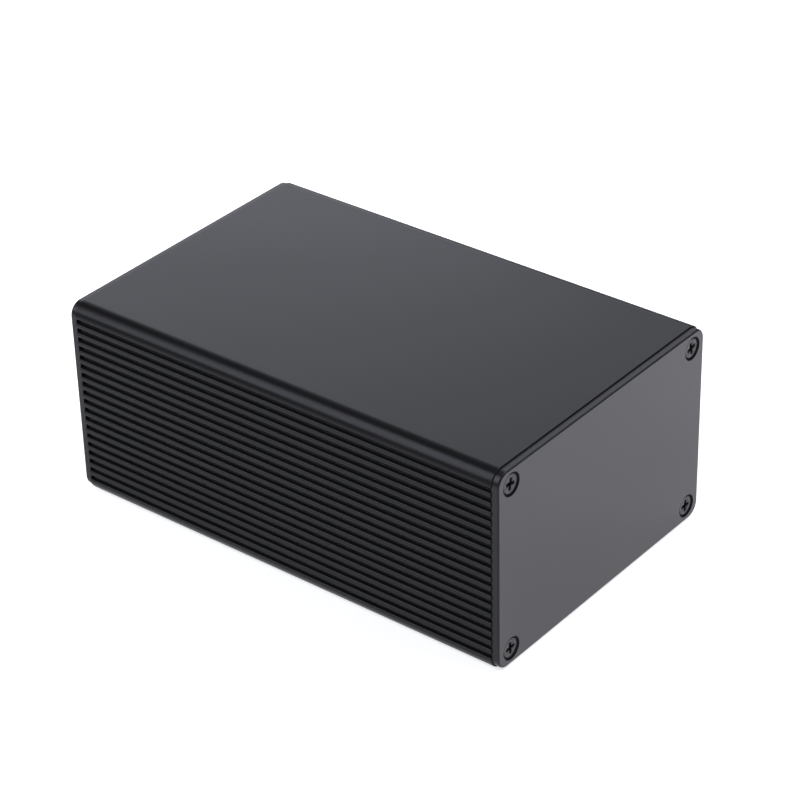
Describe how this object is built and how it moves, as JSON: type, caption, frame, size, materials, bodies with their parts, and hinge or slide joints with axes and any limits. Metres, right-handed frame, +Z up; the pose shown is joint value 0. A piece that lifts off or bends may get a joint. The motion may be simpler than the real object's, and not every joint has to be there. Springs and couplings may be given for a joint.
{
  "type": "aluminium project box",
  "caption": "Black extruded aluminium box for a circuit board: finned long sides, flat top and bottom, and flat end panels held by sunk cross-head screws.",
  "frame": {"origin": "centre of the underside, on the surface that the box stands on", "axes": "+X along the box's length towards the right end panel, +Y across the box away from the picture's finned side, +Z up"},
  "size_m": [0.103, 0.066, 0.043],
  "materials": {
    "shell": "black anodised, satin",
    "panel": "black anodised, satin",
    "screw": "blackened, semi-gloss"
  },
  "bodies": {
    "root": {"lower_shell": "shell", "upper_shell": "shell", "right_end_panel": "panel", "left_end_panel": "panel", "right_panel_screws": "screw", "left_panel_screws": "screw"}
  },
  "joints": []
}
